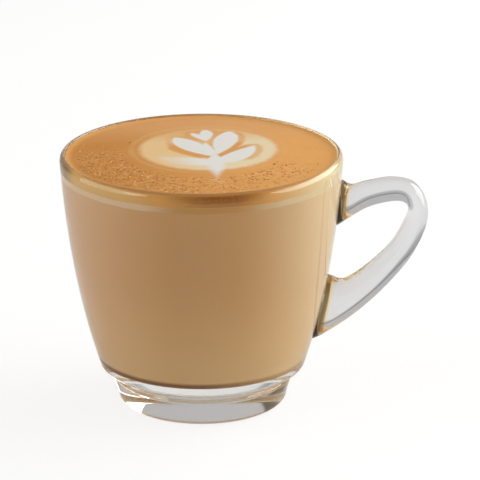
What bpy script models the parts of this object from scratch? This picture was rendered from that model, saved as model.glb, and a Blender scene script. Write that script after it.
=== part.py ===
"""A handled glass cup filled to the brim with milk coffee, with a tulip of milk foam on its crema.

Metres, +Z up. The origin is the centre of the foot's underside, and the handle points along +X.
"""

import math

import bmesh
import bpy

# Outside of the glass
CUP_HEIGHT = 0.0761
RIM_RADIUS = 0.0415
LIP_THICKNESS = 0.0019
LIP_OUTSIDE = 0.0019
LIP_INSIDE = 0.00045
SIDE_LOW = (0.03075, 0.0120)
SIDE_BEND = (0.0394, 0.0390)
SIDE_CORNER = (0.0302, 0.0101)
LEDGE = (0.0277, 0.0105)
NECK_TOP = (0.0263, 0.0100)
NECK_FOOT = (0.0264, 0.0085)
FOOT_SHOULDER = (0.0269, 0.0076)
FOOT_RADIUS = 0.02475
FOOT_EDGE = 0.0006

# Inside of the glass
FLOOR_HEIGHT = 0.0130
WALL_LOW = 0.0032
FLOOR_CORNER = 0.0055

# Each section across the handle, from the arch's outer edge to its inner edge, as x, z of both
HANDLE_SECTIONS = (
    ((0.0396, 0.0672), (0.0386, 0.0536)),
    ((0.0416, 0.0669), (0.0403, 0.0540)),
    ((0.0442, 0.0657), (0.0436, 0.0562)),
    ((0.0490, 0.0668), (0.0492, 0.0594)),
    ((0.0560, 0.0678), (0.0555, 0.0610)),
    ((0.0625, 0.0663), (0.0592, 0.0608)),
    ((0.0663, 0.0608), (0.0608, 0.0586)),
    ((0.0662, 0.0534), (0.0599, 0.0549)),
    ((0.0615, 0.0433), (0.0557, 0.0474)),
    ((0.0533, 0.0333), (0.0489, 0.0407)),
    ((0.0447, 0.0254), (0.0425, 0.0365)),
    ((0.0363, 0.0196), (0.0389, 0.0372)),
    ((0.0316, 0.0176), (0.0359, 0.0382)),
)
HANDLE_DEPTH = 0.0088
ROOT_DEPTH = 0.0108
ROOT_SECTIONS = 2
SECTION_SQUARENESS = 2.6

# The drink, up to its level and split at its two layers
GAP = 0.0003
LATTE_TOP = 0.0700
FOAM_TOP = 0.0720
DRINK_LEVEL = 0.0752

# The milk poured on the crema, x and y seen from above
ART_DEPTH = 0.0010
HALO_CENTRE = (0.0020, 0.0059)
HALO_SIZE = (0.0206, 0.0213)

# Each leaf's root, bend and tip, half its greatest width, then its weight and its power.
# The width follows a sine. A weight above 1 puts the fullest part near the tip,
# and a power under 1 rounds the ends. The last leaf is the stem.
LEAVES = (
    ((0.0038, -0.0018), (-0.0023, 0.0074), (-0.0080, 0.0179), 0.0038, 1.3, 0.65),
    ((0.0040, -0.0008), (0.0072, 0.0114), (0.0086, 0.0242), 0.0036, 1.5, 0.65),
    ((0.0042, -0.0010), (0.0016, 0.0050), (0.0012, 0.0124), 0.0017, 0.9, 0.8),
    ((0.0080, -0.0070), (-0.0040, -0.0092), (-0.0124, -0.0014), 0.0037, 1.0, 0.7),
    ((0.0036, -0.0086), (0.0110, -0.0029), (0.0156, 0.0090), 0.0035, 1.0, 0.7),
    ((0.0040, 0.0015), (0.0042, -0.0100), (0.0044, -0.0235), 0.0028, 0.8, 1.3),
)
HEART_LOBES = (
    ((0.0014, 0.0136), (0.0020, 0.0205), (0.0010, 0.0258), 0.0020, 1.4, 0.6),
    ((0.0014, 0.0136), (0.0000, 0.0185), (-0.0032, 0.0224), 0.0014, 1.4, 0.6),
)

# How finely the round shapes are cut
TURN_STEPS = 64
SIDE_STEPS = 9
CORNER_STEPS = 4
LIP_STEPS = 4
HANDLE_STEPS = 3
HANDLE_RING = 16
LEAF_STEPS = 9
HALO_STEPS = 40

# Colours in sRGB
GLASS_COLOUR = (0.93, 0.94, 0.94)
LATTE_COLOUR = (0.71, 0.56, 0.42)
FOAM_COLOUR = (0.80, 0.67, 0.50)
CREMA_COLOUR = (0.80, 0.57, 0.34)
HALO_COLOUR = (0.89, 0.77, 0.57)
MILK_COLOUR = (0.92, 0.90, 0.87)


def clear_scene():
    for obj in list(bpy.data.objects):
        bpy.data.objects.remove(obj, do_unlink=True)


def new_collection(name, parent=None):
    collection = bpy.data.collections.new(name)
    (parent or bpy.context.scene.collection).children.link(collection)
    return collection


def linear(channel):
    """One sRGB channel as scene-linear light."""
    return channel / 12.92 if channel <= 0.04045 else ((channel + 0.055) / 1.055) ** 2.4


def make_material(name, colour, roughness, transmission=0.0):
    material = bpy.data.materials.new(name)
    material.use_nodes = True
    shader = material.node_tree.nodes["Principled BSDF"]
    shader.inputs["Base Color"].default_value = (*(linear(channel) for channel in colour), 1.0)
    shader.inputs["Roughness"].default_value = roughness
    shader.inputs["Metallic"].default_value = 0.0
    shader.inputs["Transmission Weight"].default_value = transmission
    return material


def bend_point(start, bend, end, t):
    """The point at t, from 0 to 1, of the curve that leaves start towards bend and reaches end from it."""
    return tuple(
        (1 - t) ** 2 * a + 2 * t * (1 - t) * b + t**2 * c for a, b, c in zip(start, bend, end)
    )


def bend_points(start, bend, end, steps):
    return [bend_point(start, bend, end, step / steps) for step in range(steps + 1)]


def side_top():
    return RIM_RADIUS, CUP_HEIGHT - LIP_OUTSIDE


def wall_thickness(height):
    """The wall thins evenly from the floor up to the lip."""
    low, high = FLOOR_HEIGHT, CUP_HEIGHT - LIP_INSIDE
    return WALL_LOW + (LIP_THICKNESS - WALL_LOW) * (height - low) / (high - low)


def outside_radius(height):
    """The radius of the body's side at this height, from the curve's quadratic in t."""
    low, bend, high = SIDE_LOW[1], SIDE_BEND[1], side_top()[1]
    square, single = low - 2 * bend + high, 2 * (bend - low)
    t = (-single + math.sqrt(single**2 - 4 * square * (low - height))) / (2 * square)
    return bend_point(SIDE_LOW, SIDE_BEND, side_top(), t)[0]


def inside_radius(height):
    return outside_radius(height) - wall_thickness(height)


def heights(low, high, steps):
    return [low + (high - low) * step / steps for step in range(steps + 1)]


def floor_corner(clearance=0.0):
    """The rounded corner between the floor and the wall, clearance inside the glass."""
    wall_height = FLOOR_HEIGHT + FLOOR_CORNER
    corner_radius = inside_radius(FLOOR_HEIGHT) - clearance
    return bend_points(
        (corner_radius - FLOOR_CORNER, FLOOR_HEIGHT + clearance),
        (corner_radius, FLOOR_HEIGHT + clearance),
        (inside_radius(wall_height) - clearance, wall_height),
        CORNER_STEPS,
    )


def lip_points(inner_edge):
    """From above the inner wall over the crest to above the side, steep inside and gently round outside."""
    crest = inner_edge[0] + LIP_INSIDE
    width = RIM_RADIUS - crest
    turns = [math.pi / 2 * step / LIP_STEPS for step in range(1, LIP_STEPS)]
    inner = [
        (crest - LIP_INSIDE * math.cos(turn), inner_edge[1] + LIP_INSIDE * math.sin(turn))
        for turn in turns
    ]
    outer = [
        (crest + width * math.sin(turn), CUP_HEIGHT - LIP_OUTSIDE * (1 - math.cos(turn)))
        for turn in turns
    ]
    return [*inner, (crest, CUP_HEIGHT), *outer]


def glass_profile():
    """From the floor's centre up the inside, over the lip and down the outside to the foot's centre."""
    inside = floor_corner()
    wall = heights(FLOOR_HEIGHT + FLOOR_CORNER, CUP_HEIGHT - LIP_INSIDE, SIDE_STEPS)
    inside += [(inside_radius(height), height) for height in wall[1:]]
    lip = lip_points(inside[-1])
    outside = bend_points(side_top(), SIDE_BEND, SIDE_LOW, SIDE_STEPS)
    ledge = bend_points(SIDE_LOW, SIDE_CORNER, LEDGE, CORNER_STEPS)[1:]
    foot = [
        NECK_TOP,
        NECK_FOOT,
        FOOT_SHOULDER,
        (FOOT_RADIUS, FOOT_EDGE),
        (FOOT_RADIUS - FOOT_EDGE, 0.0),
    ]
    return [(0.0, FLOOR_HEIGHT), *inside, *lip, *outside, *ledge, *foot, (0.0, 0.0)]


def turned(name, profile, collection, material):
    """A solid turned about Z from a profile of radius and height."""
    mesh = bpy.data.meshes.new(name)
    edges = [(index, index + 1) for index in range(len(profile) - 1)]
    mesh.from_pydata([(radius, 0.0, height) for radius, height in profile], edges, [])
    mesh.materials.append(material)
    obj = bpy.data.objects.new(name, mesh)
    collection.objects.link(obj)
    screw = obj.modifiers.new("Turn", "SCREW")
    screw.axis = "Z"
    screw.steps = screw.render_steps = TURN_STEPS
    screw.use_merge_vertices = True
    screw.merge_threshold = 0.00001
    screw.use_smooth_shade = True
    return obj


def boolean(obj, operation, other):
    """Cuts or joins with one object, or with every object of a collection."""
    modifier = obj.modifiers.new(operation.title(), "BOOLEAN")
    modifier.operation = operation
    modifier.solver = "EXACT"
    if isinstance(other, bpy.types.Collection):
        modifier.operand_type = "COLLECTION"
        modifier.collection = other
    else:
        modifier.object = other


def hide_helper(obj):
    """Keeps a cutter or a joined shape out of the finished object."""
    obj.hide_render = True
    obj.display_type = "WIRE"
    return obj


def smooth_between(values, t):
    """The value at t on a smooth curve through the four values, of which it joins the middle two."""
    before, start, end, after = values
    return 0.5 * (
        2 * start
        + (end - before) * t
        + (2 * before - 5 * start + 4 * end - after) * t**2
        + (3 * start - before - 3 * end + after) * t**3
    )


def handle_sections():
    """(outer x, outer z, inner x, inner z, depth) of each section, smoothly filled in between."""
    last = len(HANDLE_SECTIONS) - 1
    rows = [
        (*outer, *inner, ROOT_DEPTH if min(index, last - index) < ROOT_SECTIONS else HANDLE_DEPTH)
        for index, (outer, inner) in enumerate(HANDLE_SECTIONS)
    ]
    padded = [rows[0], *rows, rows[-1]]
    filled = []
    for index in range(last):
        for step in range(HANDLE_STEPS):
            four = zip(*padded[index : index + 4])
            filled.append([smooth_between(values, step / HANDLE_STEPS) for values in four])
    return [*filled, rows[-1]]


def rounded_square(turn):
    """A point of a section between a circle and a square, within 1 each way."""
    power = 2 / SECTION_SQUARENESS
    across, along = math.cos(turn), math.sin(turn)
    return math.copysign(abs(across) ** power, across), math.copysign(abs(along) ** power, along)


def make_handle(collection):
    """A loft through sections that widen towards both roots, its ends sunk in the wall."""
    shape = bmesh.new()
    rings = []
    for outer_x, outer_z, inner_x, inner_z, depth in handle_sections():
        ring = []
        for step in range(HANDLE_RING):
            across, along = rounded_square(2 * math.pi * step / HANDLE_RING)
            x = (outer_x + inner_x + across * (outer_x - inner_x)) / 2
            z = (outer_z + inner_z + across * (outer_z - inner_z)) / 2
            ring.append(shape.verts.new((x, along * depth / 2, z)))
        rings.append(ring)
    for first, second in zip(rings, rings[1:]):
        for step in range(HANDLE_RING):
            after = (step + 1) % HANDLE_RING
            shape.faces.new((first[step], first[after], second[after], second[step]))
    shape.faces.new(rings[0])
    shape.faces.new(rings[-1])
    bmesh.ops.recalc_face_normals(shape, faces=shape.faces)
    mesh = bpy.data.meshes.new("handle")
    shape.to_mesh(mesh)
    shape.free()
    mesh.shade_smooth()
    handle = bpy.data.objects.new("handle", mesh)
    collection.objects.link(handle)
    return hide_helper(handle)


def make_glass(collection, helpers, material):
    glass = turned("glass_cup", glass_profile(), collection, material)
    boolean(glass, "UNION", make_handle(helpers))
    return glass


def make_latte(collection, material):
    """The bulk of the drink, from the glass floor up to the foam."""
    top = LATTE_TOP - GAP / 2
    corner = floor_corner(GAP)
    side = [(inside_radius(height) - GAP, height) for height in heights(corner[-1][1], top, SIDE_STEPS)]
    profile = [(0.0, top), *reversed(side), *reversed(corner[:-1]), (0.0, FLOOR_HEIGHT + GAP)]
    return turned("latte", profile, collection, material)


def make_layer(name, low, high, collection, material):
    """A layer right across the cup, between two heights."""
    profile = [
        (0.0, high),
        (inside_radius(high) - GAP, high),
        (inside_radius(low) - GAP, low),
        (0.0, low),
    ]
    return turned(name, profile, collection, material)


def leaf_outline(root, bend, tip, half_width, weight, power, grow):
    """Both edges of a leaf along its bent middle line, grown outwards on every side."""
    left, right = [], []
    for step in range(LEAF_STEPS + 1):
        t = (1 - math.cos(math.pi * step / LEAF_STEPS)) / 2
        x, y = bend_point(root, bend, tip, t)
        run = [(1 - t) * (b - a) + t * (c - b) for a, b, c in zip(root, bend, tip)]
        length = math.hypot(*run)
        run_x, run_y = run[0] / length, run[1] / length
        half = half_width * max(math.sin(math.pi * t**weight), 0.0) ** power + grow
        x, y = x + run_x * grow * (2 * t - 1), y + run_y * grow * (2 * t - 1)
        left.append((x - run_y * half, y + run_x * half))
        right.append((x + run_y * half, y - run_x * half))
    if grow == 0.0:
        right = right[1:-1]
    return left + right[::-1]


def halo_outline(grow):
    turns = [2 * math.pi * step / HALO_STEPS for step in range(HALO_STEPS)]
    return [
        (
            HALO_CENTRE[0] + (HALO_SIZE[0] + grow) * math.cos(turn),
            HALO_CENTRE[1] + (HALO_SIZE[1] + grow) * math.sin(turn),
        )
        for turn in turns
    ]


def plate(name, outline, low, high, collection):
    """A flat outline made solid between two heights."""
    curve = bpy.data.curves.new(name, "CURVE")
    curve.dimensions = "2D"
    curve.fill_mode = "BOTH"
    curve.extrude = (high - low) / 2
    spline = curve.splines.new("POLY")
    spline.points.add(len(outline) - 1)
    spline.use_cyclic_u = True
    for point, (x, y) in zip(spline.points, outline):
        point.co = (x, y, 0.0, 1.0)
    drawn = bpy.data.objects.new(name + "_outline", curve)
    drawn.location.z = (low + high) / 2
    collection.objects.link(drawn)
    bpy.context.view_layer.update()
    graph = bpy.context.evaluated_depsgraph_get()
    mesh = bpy.data.meshes.new_from_object(drawn.evaluated_get(graph))
    shape = bmesh.new()
    shape.from_mesh(mesh)
    bmesh.ops.remove_doubles(shape, verts=shape.verts, dist=0.000005)
    bmesh.ops.recalc_face_normals(shape, faces=shape.faces)
    shape.to_mesh(mesh)
    shape.free()
    mesh.name = name
    solid = bpy.data.objects.new(name, mesh)
    solid.matrix_world = drawn.matrix_world.copy()
    collection.objects.link(solid)
    bpy.data.objects.remove(drawn, do_unlink=True)
    return solid


def make_pieces(name, outlines, low, high, collection):
    """Hidden plates, one for each outline, in a collection of their own."""
    pieces = new_collection(name, collection)
    for index, outline in enumerate(outlines):
        hide_helper(plate(f"{name}_{index + 1}", outline, low, high, pieces))
    return pieces


def leaf_outlines(leaves, grow):
    return [leaf_outline(*leaf, grow) for leaf in leaves]


def make_art(collection, helpers, crema, halo_material, milk_material):
    """The halo, the leaves on their stem and the heart, let into the crema with a gap all round."""
    floor = DRINK_LEVEL - ART_DEPTH
    pocket = floor - GAP
    above = DRINK_LEVEL + ART_DEPTH
    leaf_cutters = make_pieces("leaf_cutters", leaf_outlines(LEAVES, GAP), pocket, above, helpers)
    heart_cutters = make_pieces("heart_cutters", leaf_outlines(HEART_LOBES, GAP), pocket, above, helpers)
    halo_cutter = make_pieces("halo_cutter", [halo_outline(GAP)], pocket, above, helpers)
    boolean(crema, "DIFFERENCE", halo_cutter)
    boolean(crema, "DIFFERENCE", leaf_cutters)

    halo = plate("milk_halo", halo_outline(0.0), floor, DRINK_LEVEL, collection)
    halo.data.materials.append(halo_material)
    boolean(halo, "DIFFERENCE", leaf_cutters)
    boolean(halo, "DIFFERENCE", heart_cutters)

    for name, leaves in (("milk_leaves", LEAVES), ("milk_heart", HEART_LOBES)):
        outlines = leaf_outlines(leaves, 0.0)
        milk = plate(name, outlines[0], floor, DRINK_LEVEL, collection)
        milk.data.materials.append(milk_material)
        others = make_pieces(f"{name}_others", outlines[1:], floor, DRINK_LEVEL, helpers)
        boolean(milk, "UNION", others)


def main():
    clear_scene()
    cup = new_collection("cup_of_coffee")
    helpers = new_collection("helpers")
    make_glass(cup, helpers, make_material("clear_glass", GLASS_COLOUR, 0.02, transmission=1.0))
    make_latte(cup, make_material("latte", LATTE_COLOUR, 0.45))
    foam_material = make_material("milk_foam", FOAM_COLOUR, 0.5)
    make_layer("milk_foam", LATTE_TOP + GAP / 2, FOAM_TOP - GAP / 2, cup, foam_material)
    crema_material = make_material("crema", CREMA_COLOUR, 0.5)
    crema = make_layer("crema", FOAM_TOP + GAP / 2, DRINK_LEVEL, cup, crema_material)
    halo_material = make_material("milk_halo", HALO_COLOUR, 0.5)
    milk_material = make_material("steamed_milk", MILK_COLOUR, 0.5)
    make_art(cup, helpers, crema, halo_material, milk_material)


main()
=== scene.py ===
"""Looks of a handled glass cup filled to the brim with milk coffee, with a tulip of milk foam on its crema.

The cup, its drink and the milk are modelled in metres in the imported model's own frame: +Z up, the origin
under the middle of the foot, the handle along +X.
"""

from __future__ import annotations

import logging
import math
from dataclasses import dataclass
from enum import Enum

import bmesh
import bpy
import numpy as np
from mathutils import Matrix, Quaternion, Vector


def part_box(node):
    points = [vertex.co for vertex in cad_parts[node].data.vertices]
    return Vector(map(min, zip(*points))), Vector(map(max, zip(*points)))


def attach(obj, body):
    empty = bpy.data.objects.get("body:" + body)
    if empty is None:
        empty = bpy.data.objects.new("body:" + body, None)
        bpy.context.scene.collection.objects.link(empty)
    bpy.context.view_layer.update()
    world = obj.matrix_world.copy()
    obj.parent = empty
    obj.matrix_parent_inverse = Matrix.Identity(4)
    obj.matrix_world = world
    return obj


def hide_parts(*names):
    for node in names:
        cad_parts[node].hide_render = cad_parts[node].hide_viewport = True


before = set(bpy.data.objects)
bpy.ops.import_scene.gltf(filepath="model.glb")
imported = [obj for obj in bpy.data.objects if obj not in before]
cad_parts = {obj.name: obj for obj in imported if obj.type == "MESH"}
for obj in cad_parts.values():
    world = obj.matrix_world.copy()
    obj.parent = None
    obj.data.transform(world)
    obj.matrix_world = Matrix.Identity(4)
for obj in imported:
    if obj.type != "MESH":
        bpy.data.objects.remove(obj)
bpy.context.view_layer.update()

LOG = logging.getLogger("cup_of_coffee")
MM = 0.001
ROOT = "root"

Point = tuple[float, float]
Band = tuple[float, float, float, float]
Colour = tuple[float, float, float]
BLACK: Colour = (0.0, 0.0, 0.0)
TINY = 1e-12


class Sock:
    """A node's output that takes part in arithmetic, each operator adding one Math node."""

    def __init__(self, graph: Graph, socket: bpy.types.NodeSocket | None) -> None:
        """Wrap one output socket of a graph."""
        self.graph = graph
        self.socket = socket

    def math(self, operation: str, other: Sock | float, swapped: bool = False) -> Sock:
        """Join this value and another by a Math node.

        Args:
            operation: the Math node's operation.
            other: the second value, a socket or a number.
            swapped: whether the other value comes first.

        Returns:
            The result's socket.
        """
        pair = {0: other, 1: self} if swapped else {0: self, 1: other}
        return self.graph.add("ShaderNodeMath", {"operation": operation}, pair)

    def __add__(self, other: Sock | float) -> Sock:
        """Add."""
        return self.math("ADD", other)

    def __radd__(self, other: float) -> Sock:
        """Add to a number."""
        return self.math("ADD", other, swapped=True)

    def __sub__(self, other: Sock | float) -> Sock:
        """Subtract."""
        return self.math("SUBTRACT", other)

    def __rsub__(self, other: float) -> Sock:
        """Subtract from a number."""
        return self.math("SUBTRACT", other, swapped=True)

    def __mul__(self, other: Sock | float) -> Sock:
        """Multiply."""
        return self.math("MULTIPLY", other)

    def __truediv__(self, other: Sock | float) -> Sock:
        """Divide."""
        return self.math("DIVIDE", other)


class Graph:
    """A node tree that is built from expressions."""

    def __init__(self, tree: bpy.types.NodeTree) -> None:
        """Start on an existing tree and empty it."""
        self.tree = tree
        self.tree.nodes.clear()

    def add(
        self, kind: str, settings: dict | None = None, links: dict | None = None, out: int | str = 0
    ) -> Sock:
        """Add one node.

        Args:
            kind: the node's type.
            settings: its properties, set first.
            links: values or sockets for its inputs, by name or number.
            out: the output to go on from, by name or number.

        Returns:
            That output.
        """
        node = self.tree.nodes.new(kind)
        for name, value in (settings or {}).items():
            setattr(node, name, value)
        for name, value in (links or {}).items():
            if isinstance(value, Sock):
                self.tree.links.new(value.socket, node.inputs[name])
            else:
                node.inputs[name].default_value = value
        return Sock(self, node.outputs[out] if len(node.outputs) else None)

    def mix(self, share: Sock | float, first: Sock | Colour, second: Sock | Colour) -> Sock:
        """Mix two colours.

        Args:
            share: how much of the second, 0 to 1.
            first: the colour at 0.
            second: the colour at 1.

        Returns:
            The mixed colour.
        """
        first, second = (c if isinstance(c, Sock) else (*c, 1.0) for c in (first, second))
        settings = {"data_type": "RGBA", "clamp_factor": True}
        return self.add("ShaderNodeMix", settings, {0: share, 6: first, 7: second}, 2)

    def rise(self, value: Sock, low: Sock | float, high: Sock | float) -> Sock:
        """Rise smoothly from 0 where the value is low to 1 where it is high."""
        links = {"Value": value, "From Min": low, "From Max": high}
        return self.add("ShaderNodeMapRange", {"interpolation_type": "SMOOTHSTEP"}, links)

    def fall(self, value: Sock, low: Sock | float, high: Sock | float) -> Sock:
        """Fall smoothly from 1 where the value is low to 0 where it is high."""
        return 1 - self.rise(value, low, high)

    def between(self, value: Sock, low: float, full: float, less: float, high: float) -> Sock:
        """Rise smoothly from low to full, and fall again from less to high."""
        return self.rise(value, low, full) * self.fall(value, less, high)

    def place(self) -> Sock:
        """Give the place on the object, in metres."""
        return self.add("ShaderNodeTexCoord", out="Object")

    def axis(self, name: str) -> Sock:
        """Give one coordinate of the place in millimetres."""
        return self.add("ShaderNodeSeparateXYZ", links={0: self.place()}, out=name) / MM

    def from_axis(self) -> Sock:
        """Give the distance from the cup's own axis in millimetres."""
        x, y = self.axis("X"), self.axis("Y")
        return (x * x + y * y).math("POWER", 0.5)

    def attribute(self, name: str) -> Sock:
        """Read a number that the mesh carries at its points."""
        return self.add("ShaderNodeAttribute", {"attribute_name": name}, out="Fac")

    def noise(
        self, size: float, detail: float = 2.0, roughness: float = 0.5, stretch: tuple = (1, 1, 1)
    ) -> Sock:
        """Give noise from 0 to 1.

        Args:
            size: about how far apart its blots are, in metres.
            detail: how many finer layers it has.
            roughness: how strong those are.
            stretch: how much denser it is along each axis.

        Returns:
            The noise.
        """
        place = self.add("ShaderNodeMapping", links={"Vector": self.place(), "Scale": stretch})
        links = {"Vector": place, "Scale": 1 / size, "Detail": detail, "Roughness": roughness}
        return self.add("ShaderNodeTexNoise", links=links)

    def dots(self, size: float, smallest: float, largest: float) -> Sock:
        """Scatter soft round dots of unlike sizes.

        Args:
            size: about how far apart they are, in metres.
            smallest: the smallest dot's radius as a share of that.
            largest: the largest dot's radius.

        Returns:
            1 in the middle of a dot and 0 outside.
        """
        links = {"Vector": self.place(), "Scale": 1 / size}
        away = self.add("ShaderNodeTexVoronoi", links=links, out="Distance")
        chance = self.add("ShaderNodeTexVoronoi", links=links, out="Color")
        chance = self.add("ShaderNodeSeparateColor", links={0: chance})
        radius = smallest + chance * chance * (largest - smallest)
        return self.fall(away, radius * 0.45, radius)

    def sides(self, colours: SideColoursWithPaintedLight) -> Sock:
        """Colour a layer of the drink from the left over front and back to the handle's side, with painted
        light: paler where the side lamps fall and shine in the glass.

        Args:
            colours: the layer's colours and their zones.

        Returns:
            The colour.
        """
        along = self.axis("X")
        colour = self.mix(self.fall(along, *colours.left_zone), colours.front, colours.left)
        return self.mix(self.rise(along, *colours.right_zone), colour, colours.right)

    def bump(self, height: Sock, depth: float, strength: float = 1.0) -> Sock:
        """Give the normal of a surface that the height, 0 to 1, raises by depth metres."""
        return self.add("ShaderNodeBump", links={"Height": height, "Distance": depth, "Strength": strength})


def finish_named(name: str) -> tuple[bpy.types.Material, Graph]:
    """Make an empty node material.

    Args:
        name: the material's name.

    Returns:
        The material and its graph.
    """
    material = bpy.data.materials.new(name)
    material.use_nodes = True
    return material, Graph(material.node_tree)


def principled(graph: Graph, **inputs: object) -> None:
    """Put a Principled shader on a graph's output.

    Args:
        graph: the material's graph.
        inputs: values or sockets by the input's name, with underscores for its spaces.
    """
    links = {name.replace("_", " "): value for name, value in inputs.items()}
    shader = graph.add("ShaderNodeBsdfPrincipled", links=links)
    graph.add("ShaderNodeOutputMaterial", links={"Surface": shader})


@dataclass(frozen=True)
class ClearGlass:
    """Fire-polished pressed glass, faintly wavy, with painted refraction where the handle grows out and on
    the foot's lower edge. Its bands and zones are in millimetres.
    """

    tint: Colour = (0.945, 0.952, 0.952)
    handle_tint: Colour = (0.900, 0.908, 0.928)
    handle_zone: Point = (1.5, 3.0)
    # Painted refraction: a dark strip and an amber fringe round the handle's root.
    painted_root_shade: Colour = (0.220, 0.145, 0.055)
    dark_band: Band = (0.02, 0.12, 1.3, 1.7)
    painted_root_refraction: Colour = (0.980, 0.800, 0.480)
    amber_band: Band = (1.3, 1.6, 2.0, 2.8)
    root_zone: Point = (10.0, 20.0)
    # Painted refraction: an amber line on the foot's lower edge.
    painted_foot_refraction: Colour = (0.780, 0.580, 0.400)
    foot_band: Band = (0.2, 0.5, 1.1, 1.6)
    foot_zone: Point = (23.4, 24.0)
    refraction: float = 1.5
    wave_size: float = 14 * MM
    wave_depth: float = 0.02 * MM
    wave_strength: float = 0.35

    def material(self, side: np.ndarray) -> bpy.types.Material:
        """Build the glass, with painted refraction: the drink's amber and a dark strip where the handle grows
        out of the side, and an amber line on the foot's lower edge.

        Args:
            side: the side's radius over its height, both in millimetres, as a polynomial that starts
                from its highest power.

        Returns:
            The material.
        """
        material, graph = finish_named("clear_glass")
        waves = graph.bump(graph.noise(self.wave_size, 1.0), self.wave_depth, self.wave_strength)
        height, radius = graph.axis("Z"), graph.from_axis()
        wall = height * float(side[0]) + float(side[1])
        for term in side[2:]:
            wall = wall * height + float(term)
        out = radius - wall
        at_handle = graph.rise(graph.axis("X"), *self.root_zone)
        colour = graph.mix(graph.rise(out, *self.handle_zone), self.tint, self.handle_tint)
        # Painted refraction: an amber fringe and a dark strip in the glass where the handle grows out of the
        # wall.
        colour = graph.mix(graph.between(out, *self.amber_band) * at_handle, colour, self.painted_root_refraction)
        colour = graph.mix(graph.between(out, *self.dark_band) * at_handle, colour, self.painted_root_shade)
        # Painted refraction: an amber line along the foot's lower edge.
        edge = graph.between(height, *self.foot_band) * graph.rise(radius, *self.foot_zone)
        principled(
            graph,
            Base_Color=graph.mix(edge, colour, self.painted_foot_refraction),
            Roughness=0.0,
            IOR=self.refraction,
            Transmission_Weight=1.0,
            Normal=waves,
        )
        return material


@dataclass(frozen=True)
class SideColoursWithPaintedLight:
    """A layer's colours round its side, with painted light that makes the sides paler where the lamps fall
    and shine in the glass, and the zones along X, in millimetres, where they change.
    """

    front: Colour
    left: Colour
    right: Colour
    left_zone: Point = (-37.0, -6.0)
    right_zone: Point = (8.0, 38.0)


@dataclass(frozen=True)
class MilkCoffee:
    """Opaque milk coffee against the glass, faintly clouded, with painted light: paler towards the handle's
    side and the left, a pale glowing underside, and painted shade in the bottom corner. Its zones are in
    millimetres.
    """

    # Painted light: the side is paler at the left and the handle's side than in front.
    side: SideColoursWithPaintedLight = SideColoursWithPaintedLight((0.805, 0.468, 0.174), (0.880, 0.565, 0.300), (0.980, 0.755, 0.445))
    low: Colour = (1.000, 0.700, 0.345)
    low_zone: Point = (14.0, 52.0)
    low_share: float = 0.60
    cloud: Colour = (0.860, 0.550, 0.235)
    cloud_size: float = 24 * MM
    cloud_share: float = 0.2
    # Painted light: a pale underside and a faint glow from it.
    painted_light_underside: Colour = (1.000, 0.860, 0.640)
    underside_zone: Point = (13.1, 13.4)
    painted_glow: Colour = (0.170, 0.125, 0.070)
    corner_zone: Point = (23.0, 26.5)
    # Painted shade: dark in the drink's bottom corner.
    painted_corner_shade: Colour = (0.300, 0.105, 0.022)
    painted_corner_shade_zone: Point = (14.3, 15.6)
    painted_corner_shade_share: float = 0.92
    fading_zone: Point = (-2.0, 24.0)
    fading_share: float = 0.7

    def material(self) -> bpy.types.Material:
        """Build the drink's body.

        Returns:
            The material.
        """
        material, graph = finish_named("milk_coffee")
        height = graph.axis("Z")
        clouds = graph.rise(graph.noise(self.cloud_size, 3.0, 0.55, (1, 1, 0.45)), 0.35, 0.68)
        # Painted light: the side colours grow paler towards the lamps at the left and the handle's side.
        colour = graph.mix(clouds * self.cloud_share, graph.sides(self.side), self.cloud)
        colour = graph.mix(graph.fall(height, *self.low_zone) * self.low_share, colour, self.low)
        corner = graph.rise(graph.from_axis(), *self.corner_zone)
        # Painted light: the underside is made pale and glows, as though lit.
        under = graph.fall(height, *self.underside_zone) * (1 - corner)
        colour = graph.mix(under, colour, self.painted_light_underside)
        # Painted shade: dark in the bottom corner, less towards the handle's side.
        fading = 1 - graph.rise(graph.axis("X"), *self.fading_zone) * self.fading_share
        painted_corner_shade = graph.fall(height, *self.painted_corner_shade_zone) * corner * fading
        principled(
            graph,
            Base_Color=graph.mix(painted_corner_shade * self.painted_corner_shade_share, colour, self.painted_corner_shade),
            Roughness=0.5,
            Specular_IOR_Level=0.05,
            Emission_Color=graph.mix(under, BLACK, self.painted_glow),
            Emission_Strength=1.0,
        )
        return material


@dataclass(frozen=True)
class FoamBand:
    """The paler foam under the crema, seen through the wall, ragged where it meets the drink, with painted
    light that makes it paler towards the left and the handle's side.

    Its zones and how far its edge wanders are in millimetres.
    """

    # Painted light: the side is paler towards the left and the handle's side than in front.
    side: SideColoursWithPaintedLight = SideColoursWithPaintedLight(
        (0.750, 0.390, 0.090), (0.980, 0.750, 0.490), (1.000, 0.830, 0.530), (-19.0, -4.0), (8.0, 26.0)
    )
    stain: Colour = (0.800, 0.480, 0.170)
    stain_share: float = 0.25
    grain_size: float = 0.5 * MM
    ragged_size: float = 5 * MM
    ragged_height: float = 1.1
    low_zone: Point = (-0.2, 0.5)
    high_zone: Point = (-0.4, 0.1)
    high_share: float = 0.9

    def material(self, low: float, high: float) -> bpy.types.Material:
        """Build the foam.

        Args:
            low: the height where it meets the drink, in metres.
            high: the height where it meets the crema.

        Returns:
            The material.
        """
        material, graph = finish_named("milk_foam")
        ragged = graph.noise(self.ragged_size, 4.0, 0.6, (1, 1, 0.6)) - 0.5
        height = graph.axis("Z") + ragged * self.ragged_height
        grain = graph.rise(graph.noise(self.grain_size, 2.0), 0.3, 0.75)
        colour = graph.mix(grain * self.stain_share, graph.sides(self.side), self.stain)
        drink = graph.fall(height - low / MM, *self.low_zone)
        colour = graph.mix(drink, colour, graph.sides(MilkCoffee.side))
        stained = graph.rise(height - high / MM, *self.high_zone) * self.high_share
        colour = graph.mix(stained, colour, graph.sides(Crema.side))
        principled(graph, Base_Color=colour, Roughness=0.5, Specular_IOR_Level=0.05)
        return material


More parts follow.
